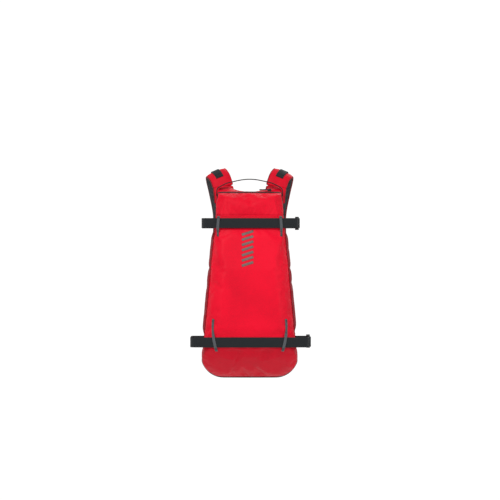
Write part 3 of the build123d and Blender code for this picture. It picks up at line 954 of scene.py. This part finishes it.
def front_y(height):
    """CAD front wall at a height in mm above the base"""
    depths = ((-4, 149), (78, 152), (240, 150), (405, 125), (492, 96))
    for (h0, d0), (h1, d1) in zip(depths, depths[1:]):
        if height <= h1:
            return -(d0 + (d1 - d0) * (height - h0) / (h1 - h0)) * MM
    return -0.096


def ski_strap(row):
    z = STRAP_HEIGHTS[row]
    height = (z - BASE) / MM
    foot = half_width(z) + 1.6 * MM
    reach = half_width(z) + LOOP_REACH
    front = front_y(height) - 2.4 * MM
    lean = (front_y(height + 12) - front_y(height - 12)) / 0.024

    def across(i):
        point = path[min(i, len(path) - 1)]
        flat = max(0.0, 1 - max(0.0, abs(point.x) - half_width(z) + 0.01) / 0.03)
        return Vector((0, lean * flat if point.y < front + 0.01 else 0, 1))

    path = resample(rounded([(-foot, -0.038, z), (-reach, -0.038, z), (-reach, front, z), (reach, front, z),
                             (reach, -0.1185, z), (reach + 5.4 * MM, -0.1130, z),
                             (reach + 5.4 * MM, -0.0835, z)],
                            (0.012, 0.020, 0.012, 0.008, 0.008)), 0.0035)
    strap("ski_web_" + row, path, across, WEB, 1.9 * MM, "root", "black_webbing", "ski_strap_" + row)
    strap("ski_web_tail_" + row, rounded([(foot, -0.038, z), (reach, -0.038, z), (reach, -0.0505, z)],
                                         (0.006,)), (0, 0, 1), WEB, 1.9 * MM, "root", "black_webbing",
          "ski_strap_%s_tail" % row)
    middle = (reach, -0.072, z)
    placed = placing(middle, (0, 1, 0), (0, 0, 1))
    socket_half("buckle_box_" + row, placed, 33, 9, 24, "root", "buckle_socket_" + row)
    tongue_half("buckle_arms_" + row, placed, 33, 9, 26, 13, "buckle_tongue_" + row,
                "buckle_tongue_" + row)
    stitching = []
    for side in (-1, 1):
        tab = [at_side(side, y, height) for y in (-0.050, -0.042, -0.034, -0.026)]
        strap("tab_%s_%d" % (row, side), tab, (-side * 0.094, 0, 1), WEB, 1.8 * MM, "root",
              "black_webbing", "strap_tabs_" + row)
        middle = (tab[0] + tab[-1]) / 2 + Vector((side * 1.0 * MM, 0, 0))
        stitching += box_stitch(middle, 18 * MM, 19 * MM, (0, side, 0), (-side * 0.094, 0, 1))
        (x0, h0), (x1, h1), (x2, h2) = KEEPERS[row]
        keeper, lying_across = [], []
        for i in range(25):
            t = i / 24
            x = (x0 * (1 - t) ** 2 + 2 * x1 * t * (1 - t) + x2 * t * t) * MM
            here = h0 * (1 - t) ** 2 + 2 * h1 * t * (1 - t) + h2 * t * t
            lying = at_front(side * x, here, 1.0 * MM)
            over = min(1.0, max(0.0, (23 - abs(here - height)) / 8))
            over = over * over * (3 - 2 * over)
            proud = front - 2.2 * MM
            keeper.append(Vector((side * x, min(lying.y, lying.y + (proud - lying.y) * over), level(here))))
            surface = at_front(side * x + 0.003, here) - at_front(side * x - 0.003, here)
            lying_across.append(surface.normalized().lerp(Vector((1, 0, 0)), over))
        steps = len(resample(keeper, 0.0035)) - 1
        strap("keeper_%s_%d" % (row, side), keeper,
              lambda i: lying_across[min(24, round(i * 24 / steps))], 7 * MM, 1.5 * MM,
              "root", "grey_webbing", "strap_keepers_" + row)
        for at in (keeper[1], keeper[2], keeper[-2], keeper[-3]):
            front_of = at + Vector((0, -1.0 * MM, 0))
            ends = [front_of - Vector((2.6 * MM, 0, 0)), front_of + Vector((2.6 * MM, 0, 0))]
            stitching.append(stitch_row(ends, Vector((0, -1, 0))))
    stitches("strap_thread_" + row, stitching, "root", BLACK_THREAD)


for row in STRAP_HEIGHTS:
    ski_strap(row)


# ---- haul handle and slider ----
def haul_handle():
    points = [(-83.5, 455), (-82.5, 475), (-58, 488), (0, 501), (58, 488), (82.5, 475), (83.5, 455)]
    path = rounded([(x * MM, -0.035, level(h)) for x, h in points],
                   [r * MM for r in (10, 50, 150, 50, 10)])

    def round_end(point):
        drop = min(10.4, max(0.0, (level(466) - point.z) / MM))
        return math.sqrt(1 - (drop / 10.9) ** 2)

    strap("handle_web", path, (0, 1, 0), 21 * MM, 2.0 * MM, "haul_handle", "black_webbing", "haul_handle",
          narrow=round_end)
    rows = []
    for name, side in SIDES.items():
        path = [at_side(side, -0.035, h, 0.9 * MM) for h in (425, 436, 448, 459)]
        strap("tack_" + name, path, (0, 1, 0), 22 * MM, 1.6 * MM, "root", "black_webbing",
              "handle_tack_" + name)
        rows += box_stitch((path[0] + path[-1]) / 2 + Vector((side * MM, 0, 0)), 16 * MM, 20 * MM,
                           (0, side, 0), path[-1] - path[0])
    stitches("tack_thread", rows, "root", BLACK_THREAD)


haul_handle()


def zip_runner():
    slope = math.radians(15)
    placed = placing(middle_of("zip_slider"), (1, 0, 0), (0, math.cos(slope), math.sin(slope)))
    boxes = [((-5.5, -4.2, 0.4), (5.5, 4.2, 2.0)), ((-4.6, -3.4, -1.8), (4.6, 3.4, -0.4)),
             ((2.5, -0.8, -1.0), (5, 0.8, 1.0)), ((-3.5, -1.6, 1.4), (-1.8, 1.6, 3.4)),
             ((1.2, -1.6, 1.4), (2.8, 1.6, 3.4)), ((-3.5, -1.6, 2.8), (2.8, 1.6, 4.0))]
    hardware("runner", boxes, placed, "zip_slider", "zip_slider", "zip_metal")
    placed = placing(middle_of("zip_pull"), (1, 0, 0), (0, math.cos(slope), math.sin(slope)))
    boxes = [((-13, -3.5, -0.8), (-6, 3.5, 0.8)), ((-7, -3.5, -0.8), (10, -1.7, 0.8)),
             ((-7, 1.7, -0.8), (10, 3.5, 0.8)), ((9, -3.5, -0.8), (13, 3.5, 0.8))]
    boxes += [((-12 + 2 * k, -2.6, 0.5), (-11 + 2 * k, 2.6, 1.2)) for k in range(3)]
    hardware("pull", boxes, placed, "zip_pull", "zip_pull", "zip_metal")


zip_runner()


# ---- padding ----
def puff(obj, held, limit):
    """Swells a sewn cover between its stitch lines; held(index) is True where it is sewn down"""
    rest = [v.co.copy() for v in obj.data.vertices]
    run_cloth(obj, {1.0: [i for i in range(len(rest)) if held(i)]}, 14, {
        "quality": 5, "mass": 0.1, "tension_stiffness": 16, "compression_stiffness": 12,
        "bending_stiffness": 0.25, "shrink_min": -0.03, "uniform_pressure_force": 1.2})
    for vertex, was in zip(obj.data.vertices, rest):
        move = vertex.co - was
        vertex.co = was + move * min(1.0, limit / max(move.length, 1e-6))


def soft_ring(wide, thick, rows=11):
    """Crowned section with a bound edge: fabric outside, mesh inside"""
    half, t = wide / 2, thick / 2
    ring = []
    for k in range(rows):
        a = -1 + 2 * k / (rows - 1)
        fall = 1 - abs(a) ** 4 * 0.62
        ring.append((a * (half - 2.6 * MM), t * fall, 0))
    ring += [(half - 1.2 * MM, t * 0.42, 2), (half, 0, 2), (half - 1.2 * MM, -t * 0.42, 2)]
    for k in range(rows):
        a = 1 - 2 * k / (rows - 1)
        fall = 1 - abs(a) ** 4 * 0.62
        ring.append((a * (half - 2.6 * MM), -t * fall, 1))
    ring += [(1.2 * MM - half, -t * 0.42, 2), (-half, 0, 2), (1.2 * MM - half, t * 0.42, 2)]
    return ring


def padded_band(name, path, across, width_at, thick_at, body, node, quilts, limit=1.9 * MM):
    """A padded strap swollen between its quilting rows, with binding and topstitch"""
    path = resample(path, 0.005)
    count = len(soft_ring(1, 1))
    obj = sweep(name, path, across, lambda i: soft_ring(width_at(i / (len(path) - 1)),
                                                        thick_at(i / (len(path) - 1))))
    rings = len(path)
    rows = {round(q * (rings - 1)) for q in quilts} | {0, 1, rings - 2, rings - 1}
    bound = {k for k in range(count) if soft_ring(1, 1)[k][2] == 2}
    puff(obj, lambda i: i // count in rows or i % count in bound or i % count in (0, 10, 14, 24), limit)
    finish_piece(obj, body, "red_padding", node)
    obj.data.materials.append(MATERIALS["back_mesh"])
    obj.data.materials.append(MATERIALS["red_binding"])
    section = soft_ring(1, 1)
    for polygon in obj.data.polygons:
        if polygon.index < (rings - 1) * count:
            polygon.material_index = section[polygon.index % count][2]
    smooth = obj.modifiers.new("smooth", "SUBSURF")
    smooth.levels = smooth.render_levels = 1
    points = [v.co for v in obj.data.vertices]
    normals = [v.normal for v in obj.data.vertices]
    lines = []
    for k in (0, 10):
        line = []
        for i in range(1, rings - 2):
            here, nxt = points[i * count + k], points[(i + 1) * count + k]
            line.append((here + normals[i * count + k] * 0.3 * MM, (nxt - here).normalized(),
                         normals[i * count + k].copy()))
        lines.append(line)
    stitches("thread_" + name, lines, body, THREAD)
    return obj, path


SHOULDER_COURSE = ((68, 2, 482), (76, 14, 504), (86, 38, 515), (86, 62, 502), (78, 76, 466),
                   (68, 80, 410), (68, 80, 340), (68, 80, 270), (70, 75, 205))


def mirrored(points, side):
    return [Vector((side * x * MM, y * MM, level(h))) for x, y, h in points]


def shoulder_strap(side_name, side):
    body = "shoulder_strap_" + side_name
    course = mirrored(((67.6, 0.6, 478.4),), side) + flow(mirrored(SHOULDER_COURSE, side), 10)
    smooth = resample(course, 0.005)
    total = len(smooth) - 1

    def across(i, count=total):
        lean = math.radians(26) * max(0, 1 - abs(i / count - 0.14) / 0.22)
        return Vector((math.cos(lean), 0, -side * math.sin(lean)))

    def width_at(part):
        return 0.054 * (0.8 + 0.2 * min(1, (1 - part) / 0.12))

    _, path = padded_band("pad_" + body, course, across, width_at,
                          lambda part: 0.0105 * (0.55 + 0.45 * min(1, 0.6 + part / 0.1, (1 - part) / 0.05)),
                          body, body, (0.3, 0.48, 0.66, 0.84), limit=1.3 * MM)
    outward, rows = [], []
    first, last = round(0.06 * total), round(0.46 * total)
    for i in range(first, last):
        along = tangent(path, i)
        wide = across(i)
        wide = (wide - along * wide.dot(along)).normalized()
        out = wide.cross(along)
        if out.dot(path[i] - Vector((0, 0.02, level(380)))) < 0:
            out = -out
        outward.append(path[i] + out * (6.3 + 1.3 * min(1, (i - first) / 5, (last - 1 - i) / 5)) * MM)
        if (i - first) % 9 == 2:
            ends = [outward[-1] + out * 1.0 * MM + wide * reach for reach in (-8 * MM, 8 * MM)]
            rows += [stitch_row([e + along * gap for e in ends], out)
                     for gap in (0, 1.6 * MM)]
    daisy_steps = max(1, len(resample(outward, 0.0035)) - 1)
    strap("daisy_" + side_name, outward,
          lambda i: across(first + round((last - first) * min(1, i / daisy_steps))), 20 * MM,
          1.6 * MM, body, "black_webbing", "strap_webbing_" + side_name)
    stitches("daisy_thread_" + side_name, rows, body, BLACK_THREAD)
    yoke = mirrored(((64, -2, 436), (65, -2, 458), (68, 2, 480.8)), side)
    obj, _ = padded_band("pad_yoke_" + side_name, flow(yoke), (1, 0, 0), lambda part: 0.053,
                         lambda part: 0.010, "root", "strap_yoke_" + side_name, (0.5,))
    rail = mirrored([(68, y, h) for y, h in ((85.2, 264), (86.6, 268), (90.8, 276), (90.8, 388),
                                             (86.6, 396), (85.2, 400))], side)
    strap("rail_" + side_name, rounded(rail, (0.004,) * 4), (1, 0, 0), 8 * MM, 1.6 * MM, body,
          "black_webbing", "sternum_rail_" + side_name)
    middle = Vector((side * 0.067, 0.0908, level(332)))
    slide = "sternum_half_" + side_name
    boxes = [((-8, -10, -3.2), (8, -6.5, 3.2)), ((-8, 6.5, -3.2), (8, 10, 3.2)),
             ((-8, -10, 1.6), (8, 10, 3.2)), ((-8, -9, -3.2), (-5.5, 9, -1.0)),
             ((5.5, -9, -3.2), (8, 9, -1.0)), ((-3, -5, 2.6), (3, 5, 3.9))]
    flipped = placing(middle, (1, 0, 0), (0, 0, 1)) @ Matrix.Scale(-1, 4, (0, 0, 1))
    hardware("sternum_slide_" + side_name, boxes, flipped, slide, "sternum_clip_" + side_name)
    web = mirrored([(x, 91.8, 332) for x in (60, 45, 30, 22.5)], side)
    strap("sternum_strap_" + side_name, web, (0, 0, 1), 18 * MM, 1.6 * MM, slide, "black_webbing",
          "sternum_web_" + side_name)
    origin = Vector((side * 0.070, 0.0736, level(204)))
    boxes = [((-14, -12, -2.5), (-10.6, 12, 2.5)), ((10.6, -12, -2.5), (14, 12, 2.5)),
             ((-13, 8.5, -2.5), (13, 12, 2.2)), ((-13, -12, -2.2), (13, -8.8, 2.2)),
             ((-12, -2.2, -1.6), (12, 1.8, 2.4)), ((-5, -15, -1.2), (5, -9, 1.2))]
    hardware("lock_" + side_name, boxes, placing(origin, (1, 0, 0), (0, 0.12, 1)), body,
             "ladder_lock_" + side_name)
    tail = flow(mirrored(((71, 71, 196), (72, 68, 175.5), (86, 34, 160), (101, -2, 146)), side), 12)
    strap("tail_" + side_name, tail, (1, 0, 0.2 * side), 20 * MM, 1.8 * MM,
          ("root", body, tuple(tail[-1]), tuple(tail[0])), "black_webbing", "strap_tail_" + side_name)
    middle = middle_of("tail_anchor_" + side_name)
    hardware("anchor_" + side_name, [((-12, -11, -1.5), (12, 11, 1.5))],
             placing(middle, (1, 0, 0), (0, 0, 1)), "root", "tail_anchor_" + side_name, "red_padding")
    cross = box_stitch(middle + Vector((0, 1.7 * MM, 0)), 16 * MM, 14 * MM, (-1, 0, 0), (0, 0, 1))
    stitches("anchor_thread_" + side_name, cross, "root", BLACK_THREAD)


for side_name, side in SIDES.items():
    shoulder_strap(side_name, side)
sternum = level(332)
tongue_half("sternum_arms", placing((0.0125, 0.0918, sternum), (-1, 0, 0), (0, 0, 1)), 22, 6, 11.5, 7.5,
            "sternum_half_right", "sternum_tongue")
socket_half("sternum_box", placing((-0.002, 0.0918, sternum), (-1, 0, 0), (0, 0, 1)), 22, 6, 22,
            "sternum_half_left", "sternum_socket")


# ---- hip belt ----
def hip_wing(side_name, side):
    body = "hip_wing_" + side_name
    course = mirrored(((104, -1, 79), (106, 60, 79), (92, 112, 79), (72, 138, 79)), side)
    padded_band("pad_" + body, rounded(course, (0.09, 0.06), 10), (0, 0, -side),
                lambda part: 0.066 - 0.034 * max(0.0, part - 0.35) / 0.65,
                lambda part: 0.0115 * (0.6 + 0.4 * min(1, part / 0.06, (1 - part) / 0.06)),
                body, body, (0.34, 0.68), limit=3 * MM)
    web = mirrored(((78, 130, 79), (68, 143.5, 79), (46, 158, 79), (24, 162.2, 79)), side)
    strap("hip_strap_" + side_name, rounded(web, (0.02, 0.06)), (0, 0, 1), WEB, 1.8 * MM, body,
          "black_webbing", "hip_web_" + side_name)


for side_name, side in SIDES.items():
    hip_wing(side_name, side)
tongue_half("hip_arms", placing((0.0136, 0.162, level(79)), (-1, 0, 0), (0, 0, 1)), 33, 9, 12.6, 7.5,
            "hip_wing_right", "hip_tongue")
socket_half("hip_box", placing((-0.002, 0.162, level(79)), (-1, 0, 0), (0, 0, 1)), 33, 9, 24,
            "hip_wing_left", "hip_socket")


# ---- back pads and what is inside ----
def mesh_pad(name, half, low, high, corner, grooves, deep, face_y, slot, node, step=0.004):
    """A moulded pad on the back: rounded outline, pressed channels, soft rolled edge"""
    tall = (high - low) / 2
    centre = (high + low) / 2
    across, up = round(2 * half / step), round(2 * tall / step)
    bm = bmesh.new()
    grid = []
    for j in range(up + 1):
        row = []
        for i in range(across + 1):
            u, v = -1 + 2 * i / across, -1 + 2 * j / up
            x, z = u * half, v * tall
            over_x, over_z = abs(x) - (half - corner), abs(z) - (tall - corner)
            if over_x > 0 and over_z > 0:
                reach = max(over_x, over_z) / math.hypot(over_x, over_z)
                x = math.copysign(half - corner + over_x * reach, x)
                z = math.copysign(tall - corner + over_z * reach, z)
            rim = min(1.0, min(half - abs(u * half), tall - abs(v * tall)) / 0.009)
            rise = math.sqrt(max(0.0, 1 - (1 - rim) ** 2))
            for line in grooves:
                rise *= 1 - 0.62 * math.exp(-(line(u * half, v * tall) / 0.0042) ** 2)
            ripple = noise.noise(Vector((x * 28, 3.1, z * 28))) * 0.03
            row.append(bm.verts.new((x, face_y - deep * (1 - rise * (0.97 + ripple)), centre + z)))
        grid.append(row)
    for j in range(up):
        for i in range(across):
            bm.faces.new((grid[j][i], grid[j + 1][i], grid[j + 1][i + 1], grid[j][i + 1]))
    ring = ([grid[0][i] for i in range(across + 1)] + [grid[j][across] for j in range(1, up + 1)]
            + [grid[up][i] for i in range(across - 1, -1, -1)] + [grid[j][0] for j in range(up - 1, 0, -1)])
    border = [v.co.copy() for v in ring]
    bm.faces.new(ring)
    bmesh.ops.recalc_face_normals(bm, faces=bm.faces)
    obj = finish_piece(from_bmesh(name, bm), "root", slot, node)
    tube(name + "_binding", [p + Vector((0, 1.2 * MM, 0)) for p in border + border[:1]], 1.7 * MM, "root",
         "dark_piping")
    return obj


BACK_GROOVES = [lambda x, z: x] + [lambda x, z, k=k: z - abs(x) * 0.3 - k for k in (-0.09, -0.03, 0.03, 0.09)]
mesh_pad("pad_back", 0.066, level(128), level(424), 0.024, BACK_GROOVES, 0.0075, 0.0, "back_mesh", "back_pad")
mesh_pad("pad_lumbar", 0.096, level(42), level(118), 0.010,
         [lambda x, z: abs(x) - 0.03, lambda x, z: abs(x) - 0.068], 0.0075, 0.0, "back_mesh", "lumbar_pad")


def inner_plate(name, node, half, thick, slot, ribs):
    """A thin sheet inside the bag, with welded ribs"""
    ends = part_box(node)
    low, high = ((end[2] - BASE) / MM for end in ends)
    boxes = [((-half, -thick / 2, low), (half, thick / 2, high))]
    boxes += [((x - 2, -thick, low + 12), (x + 2, thick, high - 12)) for x in ribs]
    scaled = [([c * MM for c in a], [c * MM for c in b]) for a, b in boxes]
    blocks(name, scaled, 1.0 * MM, "root", slot, node,
           frame_of=Matrix.Translation((0, (ends[0][1] + ends[1][1]) / 2, BASE)))


inner_plate("stay", "frame_sheet", 65, 1.6, "frame_plastic", (-40, 0, 40))
inner_plate("sleeve", "inner_sleeve", 80, 1.2, "lining", ())
